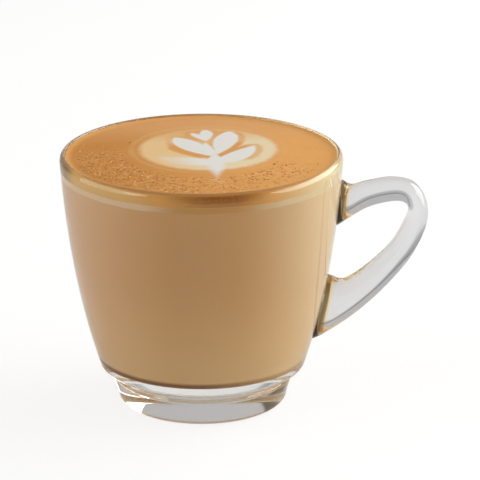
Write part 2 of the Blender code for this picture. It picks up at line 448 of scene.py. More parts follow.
@dataclass(frozen=True)
class Crema:
    """Crema with poured milk: brown foam, a cream halo, white leaves, and pores in their zone. Its side
    carries painted light, paler towards the left and the handle's side, and painted shade at its far ends.

    Its zones are in millimetres along X, its edges and the ring in millimetres from an outline, and the
    side's high zone in millimetres from the top.
    """

    left: Colour = (0.605, 0.252, 0.050)
    right: Colour = (0.850, 0.412, 0.115)
    across: Point = (-34.0, 34.0)
    marbled: Colour = (0.720, 0.347, 0.092)
    marble_size: float = 16 * MM
    mottle_size: float = 2.2 * MM
    back: Colour = (0.780, 0.405, 0.170)
    back_zone: Point = (8.0, 34.0)
    edge: Colour = (0.830, 0.410, 0.120)
    # Painted highlight and reflection: the side is cream at the handle's side and golden at the left.
    side: SideColoursWithPaintedLight = SideColoursWithPaintedLight(
        (0.940, 0.470, 0.105), (0.920, 0.575, 0.190), (1.000, 0.855, 0.500), (-24.0, -10.0), (15.0, 39.0)
    )
    side_dark: Colour = (0.420, 0.135, 0.002)
    side_speck: Colour = (0.620, 0.260, 0.035)
    side_front: Band = (-13.0, 3.0, 9.0, 20.0)
    side_high: Point = (-1.8, -0.9)
    # Painted shade at the side's far left and right ends.
    painted_shade_side_end: Colour = (0.370, 0.205, 0.062)
    left_end: Point = (-38.8, -35.2)
    right_end: Point = (36.0, 39.5)
    halo_left: Colour = (0.860, 0.590, 0.290)
    halo_right: Colour = (0.860, 0.720, 0.470)
    halo_across: Point = (-14.0, 14.0)
    halo_edge: Point = (-1.0, 1.8)
    ring_band: Band = (-3.4, -2.4, -1.6, -0.8)
    line: Colour = (0.750, 0.330, 0.075)
    line_edge: Point = (-2.8, -1.3)
    milk: Colour = (0.835, 0.812, 0.760)
    milk_edge: Point = (-0.45, 0.55)
    pore: Colour = (0.300, 0.088, 0.008)
    pore_size: float = 1.05 * MM
    fleck: Colour = (0.950, 0.640, 0.300)
    spill: Point = (4.8, -25.4)
    spill_size: Point = (3.2, 2.8)
    relief: float = 0.08 * MM

    def base(self, graph: Graph) -> Sock:
        """Build the marbled brown with its lighter ring at the wall.

        Args:
            graph: the crema's graph.

        Returns:
            The colour.
        """
        marble = graph.noise(self.marble_size, 4.0, 0.6)
        mottle = graph.noise(self.mottle_size, 3.0, 0.65)
        shade = graph.rise(marble * 0.7 + mottle * 0.3, 0.38, 0.64)
        colour = graph.mix(graph.rise(graph.axis("X"), *self.across), self.left, self.right)
        colour = graph.mix(shade * 0.4, colour, self.marbled)
        colour = graph.mix(graph.rise(graph.axis("Y"), *self.back_zone) * 0.6, colour, self.back)
        return graph.mix(graph.attribute("rim_near") * 0.65, colour, self.edge)

    def pores(self, graph: Graph, colour: Sock) -> tuple[Sock, Sock]:
        """Sprinkle dark pores and light flecks where the mesh says that bubbles broke.

        Args:
            graph: the crema's graph.
            colour: the colour below them.

        Returns:
            The colour with them, and how much pore each place has.
        """
        ragged = (graph.noise(6 * MM, 3.0, 0.6) - 0.5) * 1.5
        zone = graph.rise(graph.attribute("bubbly") + ragged, 0.3, 0.8)
        pore = graph.dots(self.pore_size, 0.10, 0.52) * zone
        fleck = graph.dots(self.pore_size * 1.31, 0.08, 0.42) * zone
        grain = graph.noise(1.5 * MM, 3.0, 0.7)
        colour = graph.mix(graph.rise(grain, 0.51, 0.65) * zone * 0.40, colour, self.pore)
        colour = graph.mix(graph.fall(grain, 0.34, 0.46) * zone * 0.25, colour, self.fleck)
        colour = graph.mix(fleck * 0.6, colour, self.fleck)
        return graph.mix(pore * 0.9, colour, self.pore), pore

    def poured(self, graph: Graph, colour: Sock) -> Sock:
        """Lay the halo, the leaves' brown outlines, the spilt drops and the white milk on the crema.

        Args:
            graph: the crema's graph.
            colour: the colour below them.

        Returns:
            The colour with them.
        """
        wobble = (graph.noise(2.6 * MM, 3.0, 0.6) - 0.5) * 1.6
        fuzz = (graph.noise(0.45 * MM, 2.0, 0.6) - 0.5) * 0.5
        halo = graph.attribute("halo") + wobble * 1.3 + fuzz
        across = graph.rise(graph.axis("X") + graph.axis("Y") * -0.35, *self.halo_across)
        cream = graph.mix(across, self.halo_left, self.halo_right)
        ring = graph.between(halo, *self.ring_band)
        colour = graph.mix(ring * (0.16 - across * 0.08), colour, self.halo_left)
        colour = graph.mix(graph.rise(halo, *self.halo_edge) * graph.attribute("halo_share"), colour, cream)
        line = graph.rise(graph.attribute("outlined") + wobble, *self.line_edge)
        colour = graph.mix(line * graph.attribute("line_share") * 0.92, colour, self.line)
        spill_x, spill_y = (
            (graph.axis(name) - middle) / size
            for name, middle, size in zip("XY", self.spill, self.spill_size)
        )
        spill = graph.fall(spill_x * spill_x + spill_y * spill_y, 0.3, 1.0)
        drops = graph.rise(graph.noise(1.5 * MM, 2.0, 0.6), 0.52, 0.62)
        colour = graph.mix(drops * spill * 0.7, colour, self.fleck)
        milk = (graph.attribute("milk") + wobble * 0.4 + fuzz) * graph.attribute("crisp")
        return graph.mix(graph.rise(milk, *self.milk_edge) * graph.attribute("milk_share"), colour, self.milk)

    def at_wall(self, graph: Graph, level: float) -> Sock:
        """Colour the side seen through the wall, darkest in front just under the top, with painted light
        paler towards the left and the handle's side, and painted shade at the far ends.

        Args:
            graph: the crema's graph.
            level: the height of the top, in metres.

        Returns:
            The colour.
        """
        along = graph.axis("X")
        front = graph.between(along, *self.side_front)
        height = graph.axis("Z") + graph.noise(3 * MM, 3.0) * 1.2
        high = graph.rise(height - level / MM, *self.side_high)
        # Painted light: the side colours grow paler towards the left and the handle's side.
        colour = graph.mix(front * (high * 0.45 + 0.55), graph.sides(self.side), self.side_dark)
        speck = graph.rise(graph.noise(0.7 * MM, 2.0, 0.6), 0.48, 0.62)
        colour = graph.mix(speck * front * 0.5, colour, self.side_speck)
        # Painted shade: the far ends of the side go dark olive.
        ends = graph.fall(along, *self.left_end) + graph.rise(along, *self.right_end) * 0.3
        return graph.mix(ends, colour, self.painted_shade_side_end)

    def material(self, level: float) -> bpy.types.Material:
        """Build the crema.

        Args:
            level: the height of its top, in metres.

        Returns:
            The material.
        """
        material, graph = finish_named("crema")
        colour, pore = self.pores(graph, self.base(graph))
        colour = self.poured(graph, colour)
        top = graph.attribute("top")
        grain = graph.noise(0.35 * MM, 2.0, 0.6)
        height = grain * 0.5 + graph.noise(4 * MM, 2.0) - pore * 0.3
        principled(
            graph,
            Base_Color=graph.mix(1 - top, colour, self.at_wall(graph, level)),
            Roughness=0.5,
            Specular_IOR_Level=0.06,
            Coat_Weight=top * 0.07,
            Coat_Roughness=0.25,
            Normal=graph.bump(height, self.relief, 0.8),
        )
        return material


@dataclass(frozen=True)
class BubbleSkin:
    """The wet skin of a small bubble on the crema."""

    thick: Colour = (0.480, 0.180, 0.035)
    thin: Colour = (0.900, 0.520, 0.190)

    def material(self) -> bpy.types.Material:
        """Build the skin.

        Returns:
            The material.
        """
        material, graph = finish_named("bubble_skin")
        shade = graph.rise(graph.noise(1.4 * MM, 1.0), 0.4, 0.6)
        colour = graph.mix(shade, self.thick, self.thin)
        principled(graph, Base_Color=colour, Roughness=0.4, Specular_IOR_Level=0.06)
        return material


def freeze(obj: bpy.types.Object) -> None:
    """Make an object's evaluated shape its plain mesh, with no modifier left.

    Args:
        obj: the object.
    """
    bpy.context.view_layer.update()
    graph = bpy.context.evaluated_depsgraph_get()
    mesh = bpy.data.meshes.new_from_object(obj.evaluated_get(graph))
    mesh.name = obj.name
    obj.modifiers.clear()
    obj.data = mesh


def face_outwards(obj: bpy.types.Object) -> None:
    """Turn every face of a closed mesh outwards and shade it smooth.

    Args:
        obj: the mesh's object.
    """
    shape = bmesh.new()
    shape.from_mesh(obj.data)
    bmesh.ops.recalc_face_normals(shape, faces=shape.faces)
    shape.to_mesh(obj.data)
    shape.free()
    obj.data.shade_smooth()


def open_tree(name: str, inputs: dict[str, str], output: str) -> tuple[Graph, dict[str, Sock]]:
    """Start a Geometry Nodes tree that gives out one shape.

    Args:
        name: the tree's name.
        inputs: the name and kind of each input.
        output: the shape's name.

    Returns:
        The tree's graph, and each input's socket by its name.
    """
    tree = bpy.data.node_groups.new(name, "GeometryNodeTree")
    for label, kind in inputs.items():
        tree.interface.new_socket(name=label, in_out="INPUT", socket_type="NodeSocket" + kind)
    tree.interface.new_socket(name=output, in_out="OUTPUT", socket_type="NodeSocketGeometry")
    graph = Graph(tree)
    given = graph.add("NodeGroupInput").socket.node.outputs
    return graph, {label: Sock(graph, given[label]) for label in inputs}


def close_tree(graph: Graph, shape: Sock, finish: Sock, output: str) -> None:
    """Make a tree's shape real and smooth, give it its material and send it out.

    Args:
        graph: the tree's graph.
        shape: the shape.
        finish: its material.
        output: the output's name.
    """
    shape = graph.add("GeometryNodeRealizeInstances", links={"Geometry": shape})
    shape = graph.add("GeometryNodeSetShadeSmooth", links={"Geometry": shape})
    shape = graph.add("GeometryNodeSetMaterial", links={"Geometry": shape, "Material": finish})
    graph.add("NodeGroupOutput", links={output: shape})


def run_tree(obj: bpy.types.Object, tree: bpy.types.NodeTree, values: dict[str, object]) -> None:
    """Run a tree on an object and keep the plain mesh.

    Args:
        obj: the object.
        tree: the Geometry Nodes tree.
        values: what its named inputs get.
    """
    modifier = obj.modifiers.new(tree.name, "NODES")
    modifier.node_group = tree
    for item in tree.interface.items_tree:
        if item.in_out == "INPUT" and item.name in values:
            modifier[item.identifier] = values[item.name]
    freeze(obj)


class Turns(Enum):
    """How finely a turned piece is cut round its axis."""

    GLASS = 256
    DRINK = 192


@dataclass
class TurnedShape:
    """A Geometry Nodes tree that turns a profile of radius and height round Z."""

    axis_offset: float = 10e-6
    merge: float = 1e-6
    tree: bpy.types.NodeTree | None = None

    def build_tree(self) -> None:
        """Sweep the profile round a tiny circle on the axis, close it and give it its material."""
        inputs = {"Profile": "Geometry", "Turns": "Int", "Material": "Material"}
        graph, take = open_tree("turned_shape", inputs, "Shape")
        profile = graph.add("GeometryNodeMeshToCurve", links={"Mesh": take["Profile"]})
        ring = {"Resolution": take["Turns"], "Radius": self.axis_offset}
        circle = graph.add("GeometryNodeCurvePrimitiveCircle", links=ring)
        shape = graph.add("GeometryNodeCurveToMesh", links={"Curve": circle, "Profile Curve": profile})
        shape = graph.add("GeometryNodeMergeByDistance", links={"Geometry": shape, "Distance": self.merge})
        close_tree(graph, shape, take["Material"], "Shape")
        self.tree = graph.tree

    def turn(
        self, name: str, profile: list[Point], turns: Turns, material: bpy.types.Material
    ) -> bpy.types.Object:
        """Turn one profile into a closed piece.

        Args:
            name: the piece's name.
            profile: radius and height of each point, from the axis round to the axis.
            turns: how finely it is cut.
            material: its finish.

        Returns:
            The piece, a plain mesh with its faces outwards.
        """
        if self.tree is None:
            self.build_tree()
        mesh = bpy.data.meshes.new(name + "_profile")
        points = [(radius - self.axis_offset, -height, 0.0) for radius, height in profile]
        mesh.from_pydata(points, [(i, i + 1) for i in range(len(points) - 1)], [])
        obj = bpy.data.objects.new(name, mesh)
        bpy.context.scene.collection.objects.link(obj)
        run_tree(obj, self.tree, {"Turns": turns.value, "Material": material})
        face_outwards(obj)
        return obj


def bend_points(start: Point, bend: Point, end: Point, steps: int) -> list[Point]:
    """Follow the curve that leaves start towards bend and reaches end from it.

    Args:
        start: where it begins.
        bend: the point that it leans towards.
        end: where it ends.
        steps: how many pieces it has.

    Returns:
        Its points, both ends among them.
    """
    t = np.linspace(0.0, 1.0, steps + 1)[:, None]
    start, bend, end = (np.array(point, float) for point in (start, bend, end))
    line = (1 - t) ** 2 * start + 2 * t * (1 - t) * bend + t**2 * end
    return [tuple(point) for point in line]


def rounded(corners: list[Point], reach: list[float], steps: int) -> list[Point]:
    """Round the corners of a line.

    Args:
        corners: the line's points.
        reach: how far from each inner corner its rounding begins, in metres.
        steps: how many pieces each rounding has.

    Returns:
        The line with its rounded corners.
    """
    line = [corners[0]]
    for before, corner, after, far in zip(corners, corners[1:], corners[2:], reach):
        here = np.array(corner)
        into, out = np.array(before) - here, np.array(after) - here
        start = here + into / np.linalg.norm(into) * far
        end = here + out / np.linalg.norm(out) * far
        line += bend_points(start, corner, end, steps)
    return [*line, corners[-1]]


def add_mesh(name: str, points: np.ndarray, faces: list, material: bpy.types.Material) -> bpy.types.Object:
    """Make an object of one mesh.

    Args:
        name: its name.
        points: one row for each vertex, in metres.
        faces: the vertices of each face.
        material: its finish.

    Returns:
        The object, shaded smooth.
    """
    mesh = bpy.data.meshes.new(name)
    mesh.from_pydata(points.tolist(), [], faces)
    mesh.materials.append(material)
    obj = bpy.data.objects.new(name, mesh)
    bpy.context.scene.collection.objects.link(obj)
    face_outwards(obj)
    return obj


@dataclass
class GlassCup:
    """The glass: a turned body on a stepped foot, with its handle grown on."""

    shaper: TurnedShape
    height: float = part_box("glass_cup")[1].z
    rim_radius: float = -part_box("glass_cup")[0].x
    lip: float = 1.9 * MM
    lip_outside: float = 1.9 * MM
    lip_inside: float = 0.45 * MM
    side_low: Point = (30.75 * MM, 12.0 * MM)
    side_bend: Point = (39.4 * MM, 39.0 * MM)
    side_corner: Point = (30.2 * MM, 10.1 * MM)
    ledge: Point = (27.7 * MM, 10.5 * MM)
    groove: Point = (26.3 * MM, 10.0 * MM)
    groove_low: Point = (26.4 * MM, 8.5 * MM)
    shoulder: Point = (26.9 * MM, 7.6 * MM)
    foot_radius: float = 24.75 * MM
    foot_rounds: tuple = (0.45 * MM, 0.4 * MM, 0.45 * MM, 1.5 * MM)
    floor: float = 13.0 * MM
    wall_low: float = 3.2 * MM
    floor_corner: float = 5.5 * MM
    handle_depth: float = 8.8 * MM
    root_depth: float = 11.6 * MM
    root_reach: float = 3.2 * MM
    squareness: float = 2.6
    sharp_turn: float = math.radians(32)
    sections: tuple = (
        ((39.6, 67.2), (38.6, 53.6)),
        ((41.6, 66.9), (40.3, 54.0)),
        ((44.2, 65.7), (43.6, 56.2)),
        ((49.0, 66.8), (49.2, 59.4)),
        ((56.0, 67.8), (55.5, 61.0)),
        ((62.5, 66.3), (59.2, 60.8)),
        ((66.3, 60.8), (60.8, 58.6)),
        ((66.2, 53.4), (59.9, 54.9)),
        ((61.5, 43.3), (55.7, 47.4)),
        ((53.3, 33.3), (48.9, 40.7)),
        ((44.7, 25.4), (42.5, 36.5)),
        ((36.3, 19.6), (38.9, 37.2)),
        ((31.6, 17.6), (35.9, 38.2)),
    )

    def side_top(self) -> Point:
        """Give the radius and height where the side meets the lip."""
        return self.rim_radius, self.height - self.lip_outside

    def wall(self, height: np.ndarray | float) -> np.ndarray | float:
        """Give the wall's thickness at a height, thinning evenly up to the lip."""
        low, high = self.floor, self.height - self.lip_inside
        return self.wall_low + (self.lip - self.wall_low) * (height - low) / (high - low)

    def outside(self, height: np.ndarray | float) -> np.ndarray | float:
        """Find the body's outer radius.

        Args:
            height: one height or more.

        Returns:
            The radius there.
        """
        low, bend, high = self.side_low[1], self.side_bend[1], self.side_top()[1]
        square, single = low - 2 * bend + high, 2 * (bend - low)
        t = (-single + np.sqrt(single**2 - 4 * square * (low - height))) / (2 * square)
        start, middle, end = self.side_low[0], self.side_bend[0], self.side_top()[0]
        return (1 - t) ** 2 * start + 2 * t * (1 - t) * middle + t**2 * end

    def inside(self, height: np.ndarray | float) -> np.ndarray | float:
        """Give the body's inner radius at a height."""
        return self.outside(height) - self.wall(height)

    def floor_round(self, grow: float, steps: int = 16) -> list[Point]:
        """Round the corner between floor and wall.

        Args:
            grow: how far into the glass it is moved, in metres.
            steps: how many pieces it has.

        Returns:
            Its points, from the floor to the wall.
        """
        high = self.floor + self.floor_corner
        radius, low = self.inside(self.floor) + grow, self.floor - grow
        start, end = (radius - self.floor_corner, low), (self.inside(high) + grow, high)
        return bend_points(start, (radius, low), end, steps)

    def inner_wall(self, low: float, high: float, grow: float, steps: int) -> list[Point]:
        """Give the inner wall between two heights, grown into the glass by a little."""
        return [(self.inside(z) + grow, z) for z in np.linspace(low, high, steps + 1)]

    def profile(self) -> list[Point]:
        """Draw the body's outline.

        Returns:
            Its points, from the floor's centre over the lip to the foot's centre.
        """
        inside = self.floor_round(0.0)
        inside += self.inner_wall(inside[-1][1], self.height - self.lip_inside, 0.0, 56)[1:]
        outside = bend_points(self.side_top(), self.side_bend, self.side_low, 56)
        outside += bend_points(self.side_low, self.side_corner, self.ledge, 14)[1:]
        corners = [self.ledge, self.groove, self.groove_low, self.shoulder, (self.foot_radius, 0.0)]
        foot = rounded([*corners, (0.0, 0.0)], self.foot_rounds, 8)
        return [(0.0, self.floor), *inside, *self.lip_round(inside[-1]), *outside, *foot[1:]]

    def lip_round(self, start: Point) -> list[Point]:
        """Round the lip, steeper inside than outside.

        Args:
            start: the top of the inner wall.

        Returns:
            Its points, from just above the inner wall to just above the side.
        """
        crest = start[0] + self.lip_inside
        wide = self.rim_radius - crest
        inner = [
            (crest - self.lip_inside * math.cos(turn), start[1] + self.lip_inside * math.sin(turn))
            for turn in np.linspace(0.0, math.pi / 2, 11)[1:]
        ]
        outer = [
            (crest + wide * math.sin(turn), self.height - self.lip_outside * (1 - math.cos(turn)))
            for turn in np.linspace(0.0, math.pi / 2, 21)[1:-1]
        ]
        return [*inner, *outer]

    def handle_rows(self, fill: int = 10) -> np.ndarray:
        """Fill in the handle's sections on a smooth curve.

        Args:
            fill: how many rows each section becomes.

        Returns:
            One row for each: x and z of the outer edge and of the inner edge, and how far the nearer root is.
        """
        rows = np.array([(*outer, *inner) for outer, inner in self.sections]) * MM
        padded = np.vstack([rows[:1], rows, rows[-1:]])
        filled = []
        for a, b, c, d in zip(padded, padded[1:], padded[2:], padded[3:]):
            for t in np.arange(fill) / fill:
                curve = 2 * b + (c - a) * t + (2 * a - 5 * b + 4 * c - d) * t**2
                filled.append((curve + (3 * b - a - 3 * c + d) * t**3) / 2)
        filled = np.array([*filled, rows[-1]])
        middle = (filled[:, :2] + filled[:, 2:]) / 2
        run = np.r_[0.0, np.cumsum(np.linalg.norm(np.diff(middle, axis=0), axis=1))]
        return np.column_stack([filled, np.minimum(run, run[-1] - run)])

    def make_handle(self, ring: int = 40) -> bpy.types.Object:
        """Loft the handle through its sections, wider where it grows out of the wall.

        Args:
            ring: how many points each section has.

        Returns:
            The handle, a closed mesh.
        """
        turns = np.linspace(0.0, 2 * math.pi, ring, endpoint=False)
        power = 2 / self.squareness
        across, along = (np.sign(way) * np.abs(way) ** power for way in (np.cos(turns), np.sin(turns)))
        rows = self.handle_rows()
        flare = np.exp(-((rows[:, 4] / self.root_reach) ** 2))
        depth = self.handle_depth + (self.root_depth - self.handle_depth) * flare
        x, z = (
            (rows[:, i] + rows[:, i + 2])[:, None] / 2 + np.outer(rows[:, i] - rows[:, i + 2], across) / 2
            for i in (0, 1)
        )
        y = np.outer(depth, along) / 2
        points = np.stack([x, y, z], axis=-1).reshape(-1, 3)
        faces = [
            (i * ring + j, i * ring + (j + 1) % ring, (i + 1) * ring + (j + 1) % ring, (i + 1) * ring + j)
            for i in range(len(rows) - 1)
            for j in range(ring)
        ]
        faces += [tuple(range(ring)), tuple(range(len(points) - ring, len(points)))]
        return add_mesh("handle", points, faces, bpy.data.materials["clear_glass"])

    def build(self) -> bpy.types.Object:
        """Join body and handle into one glass piece that stands for the solid cup.

        Returns:
            The glass.
        """
        rise = np.linspace(self.side_low[1], self.side_top()[1], 60)
        material = ClearGlass().material(np.polyfit(rise / MM, self.outside(rise) / MM, 4))
        glass = self.shaper.turn("glass_body", self.profile(), Turns.GLASS, material)
        handle = self.make_handle()
        union = glass.modifiers.new("Join", "BOOLEAN")
        union.operation = "UNION"
        union.solver = "EXACT"
        union.object = handle
        freeze(glass)
        bpy.data.objects.remove(handle, do_unlink=True)
        glass.data.shade_smooth()
        glass.data.set_sharp_from_angle(angle=self.sharp_turn)
        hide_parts("glass_cup")
        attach(glass, ROOT)
        LOG.info("glass: %d faces", len(glass.data.polygons))
        return glass


def soft_step(values: np.ndarray, low: float, high: float) -> np.ndarray:
    """Rise smoothly from 0 where the value is low to 1 where it is high."""
    t = np.clip((values - low) / (high - low), 0, 1)
    return t * t * (3 - 2 * t)


@dataclass(frozen=True)
class Leaf:
    """One lobe of the poured milk: its bent middle line and half width, in millimetres.

    The weight moves its widest place towards the tip, and a low power fills out its ends.
    """

    root: Point
    bend: Point
    tip: Point
    half_width: float
    weight: float
    power: float

    def outline(self, steps: int = 40) -> np.ndarray:
        """Draw the lobe's closed outline.

        Args:
            steps: how many pieces each side has.

        Returns:
            One row for each point, in millimetres.
        """
        t = (1 - np.cos(np.linspace(0.0, math.pi, steps + 1))) / 2
        root, bend, tip = (np.array(point, float) for point in (self.root, self.bend, self.tip))
        line = np.outer((1 - t) ** 2, root) + np.outer(2 * t * (1 - t), bend) + np.outer(t**2, tip)
        run = np.outer(1 - t, bend - root) + np.outer(t, tip - bend)
        run /= np.linalg.norm(run, axis=1)[:, None]
        half = self.half_width * np.maximum(np.sin(math.pi * t**self.weight), 0.0) ** self.power
        side = np.column_stack([-run[:, 1], run[:, 0]]) * half[:, None]
        return np.vstack([line + side, (line - side)[-2:0:-1]])

    def depth(self, points: np.ndarray) -> np.ndarray:
        """Measure how far inside the outline points are.

        Args:
            points: one row for each, in millimetres.

        Returns:
            The distance of each from the outline, in millimetres, below 0 outside.
        """
        outline = self.outline()
        nearest = np.full(len(points), np.inf)
        inside = np.zeros(len(points), bool)
        for a, b in zip(outline, np.roll(outline, -1, axis=0)):
            edge = b - a
            share = np.clip((points - a) @ edge / max(edge @ edge, TINY), 0, 1)
            gap = points - a - share[:, None] * edge
            nearest = np.minimum(nearest, np.hypot(gap[:, 0], gap[:, 1]))
            if a[1] != b[1]:
                crosses = (a[1] > points[:, 1]) != (b[1] > points[:, 1])
                inside ^= crosses & (points[:, 0] < edge[0] * (points[:, 1] - a[1]) / edge[1] + a[0])
        return np.where(inside, nearest, -nearest)


@dataclass(frozen=True)
class MilkTulip:
    """The poured tulip: two pairs of leaves on a stem, a heart above, all in a cream halo."""

    leaves: tuple = (
        Leaf((3.8, -1.8), (-2.3, 7.4), (-8.0, 17.9), 3.8, 1.3, 0.65),
        Leaf((4.0, -0.8), (7.2, 11.4), (8.6, 24.2), 3.6, 1.5, 0.65),
        Leaf((4.2, -1.0), (1.6, 5.0), (1.2, 12.4), 1.7, 0.9, 0.8),
        Leaf((8.0, -7.0), (-4.0, -9.2), (-12.4, -1.4), 3.7, 1.0, 0.7),
        Leaf((3.6, -8.6), (11.0, -2.9), (15.6, 9.0), 3.5, 1.0, 0.7),
        Leaf((4.0, 1.5), (4.2, -10.0), (4.4, -23.5), 2.8, 0.8, 1.3),
        Leaf((1.4, 13.6), (2.0, 20.5), (1.0, 25.8), 2.0, 1.4, 0.6),
        Leaf((1.4, 13.6), (0.0, 18.5), (-3.2, 22.4), 1.4, 1.4, 0.6),
    )
    outlined: tuple = (0, 1, 4, 6, 7)
    halo_centre: Point = (2.0, 5.9)
    halo_size: Point = (20.6, 21.3)

    def zones(self, points: np.ndarray) -> dict[str, np.ndarray]:
        """Find what the pour does at each point.

        Args:
            points: one row for each, in millimetres.

        Returns:
            How far inside the milk, its outlined leaves and the halo each point is, in millimetres, and
            how strong the halo, the milk, its edges and its brown outlines are there.
        """
        x, y = points[:, 0], points[:, 1]
        milk = np.array([leaf.depth(points) for leaf in self.leaves])
        off = (points - self.halo_centre) / self.halo_size
        halo = (1 - np.hypot(off[:, 0], off[:, 1])) * np.mean(self.halo_size)
        # Below the upper left leaf the outline is wider, and the lower left leaf is blurred.
        under = soft_step(-x, -3, 2) * soft_step(-y, -10, -6)
        left = soft_step(-x, 1, 8) * soft_step(-y, -3, 1)
        # Outlines fade at the upper left tip, behind, at the right and between the upper leaves.
        line = 1 - 0.6 * soft_step(-x, 4, 8) * soft_step(y, 8, 13)
        line *= 1 - 0.35 * soft_step(y, 11, 15)
        line *= 1 - 0.4 * soft_step(x, 12, 16)
        line *= 1 - 0.6 * np.exp(-(((x - 0.8) / 3) ** 2) - ((y - 11) / 4) ** 2)
        return {
            "milk": np.max(milk, axis=0),
            "outlined": np.max(milk[list(self.outlined)], axis=0) + 1.3 * under,
            "halo": halo,
            "halo_share": 0.95 - 0.5 * soft_step(y, 12, 24),
            "milk_share": 1 - 0.6 * soft_step(-x - y * 0.6, 3, 12),
            "crisp": 1 - 0.65 * soft_step(-y - 4 - abs(x - 5) * 0.2 + 8 * left, -2, 3),
            "line_share": soft_step(y, -6.5, -2.5) * soft_step(halo, 0.5, 2.5) * line,
        }


@dataclass
class Drink:
    """The drink in its three layers, each reaching just into the wall.

    Each of the pored turns is a direction and a spread, in degrees, and a share. The pores lie between
    the radii of pored_inside and pored_outside, in millimetres.
    """

    glass: GlassCup
    shaper: TurnedShape
    grow: float = 0.12 * MM
    latte_top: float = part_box("latte")[1].z + 0.15 * MM
    foam_top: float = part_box("milk_foam")[1].z + 0.15 * MM
    level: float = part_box("crema")[1].z
    creep: float = 0.45 * MM
    creep_reach: float = 0.9 * MM
    creep_power: float = 1.3
    ring_step: float = 0.25 * MM
    tuck: float = 0.3 * MM
    sharp_turn: float = math.radians(40)
    pored_turns: tuple = ((228, 66, 1.0), (320, 40, 0.55))
    pored_inside: Point = (19, 24)
    pored_outside: Point = (35, 39)
    rim_inside: float = 2.6 * MM
    rim_outside: float = 0.3 * MM
    top_zone: Point = (-0.05 * MM, -0.01 * MM)

    def make_latte(self) -> bpy.types.Object:
        """Make the drink's body from the floor up to the foam.

        Returns:
            The body.
        """
        corner = self.glass.floor_round(self.grow)
        side = self.glass.inner_wall(corner[-1][1], self.latte_top, self.grow, 48)
        profile = [(0.0, corner[0][1]), *corner, *side[1:], (0.0, self.latte_top)]
        piece = self.shaper.turn("milk_coffee", profile, Turns.DRINK, MilkCoffee().material())
        return self.fit(piece, "milk_coffee", "latte")

    def make_foam(self) -> bpy.types.Object:
        """Make the pale layer right across the cup.

        Returns:
            The layer.
        """
        low = self.latte_top
        side = self.glass.inner_wall(low, self.foam_top, self.grow, 6)
        foot = (self.glass.inside(low) - self.tuck, low - self.tuck)
        profile = [(0.0, foot[1]), foot, *side, (0.0, self.foam_top)]
        piece = self.shaper.turn("foam_band", profile, Turns.DRINK, FoamBand().material(low, self.foam_top))
        return self.fit(piece, "milk_foam", "milk_foam")

    def make_crema(self) -> bpy.types.Object:
        """Make the top layer, which creeps a little up the wall, with the milk's zones at its points.

        Returns:
            The layer.
        """
        edge = self.level + self.creep
        side = self.glass.inner_wall(self.foam_top, edge, self.grow, 8)
        reach = self.glass.inside(edge) + self.grow
        radii = np.linspace(reach, 0.0, round(reach / self.ring_step) + 1)[1:]
        rise = self.creep * np.exp(-((reach - radii) / self.creep_reach) ** self.creep_power)
        top = [(radius, self.level + up) for radius, up in zip(radii, rise)]
        foot = (self.glass.inside(self.foam_top) - self.tuck, self.foam_top - self.tuck)
        profile = [(0.0, foot[1]), foot, *side, *top]
        piece = self.shaper.turn("crema_top", profile, Turns.DRINK, Crema().material(self.level))
        self.mark(piece, reach)
        return self.fit(piece, "crema", "crema", "milk_halo", "milk_leaves", "milk_heart")

    def mark(self, piece: bpy.types.Object, reach: float) -> None:
        """Store the zones of the milk, of the wall's ring and of the pores at the crema's points.

        Args:
            piece: the crema.
            reach: its radius at the wall, in metres.
        """
        place = np.zeros(len(piece.data.vertices) * 3)
        piece.data.vertices.foreach_get("co", place)
        place = place.reshape(-1, 3)
        flat = place[:, :2] / MM
        radius = np.hypot(flat[:, 0], flat[:, 1])
        turn = np.degrees(np.arctan2(flat[:, 1], flat[:, 0])) % 360
        pored = sum(
            share * np.exp(-(((turn - middle) / wide) ** 2)) for middle, wide, share in self.pored_turns
        )
        pored = np.clip(pored, 0, 1) * soft_step(radius, *self.pored_inside)
        zones = MilkTulip().zones(flat)
        zones["bubbly"] = pored * (1 - soft_step(radius, *self.pored_outside))
        zones["rim_near"] = soft_step(radius * MM, reach - self.rim_inside, reach - self.rim_outside)
        zones["top"] = soft_step(place[:, 2] - self.level, *self.top_zone)
        for name, values in zones.items():
            store = piece.data.attributes.new(name, "FLOAT", "POINT")
            store.data.foreach_set("value", values.astype(np.float32))

    def fit(self, piece: bpy.types.Object, slot: str, *nodes: str) -> bpy.types.Object:
        """Give a layer its sharp edges, put it in the place of its solids and report it.

        Args:
            piece: the layer.
            slot: its material slot.
            nodes: the solids that it stands for.

        Returns:
            The layer.
        """
        piece.data.set_sharp_from_angle(angle=self.sharp_turn)
        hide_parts(*nodes)
        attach(piece, ROOT)
        LOG.info("%s: %d faces", piece.name, len(piece.data.polygons))
        return piece


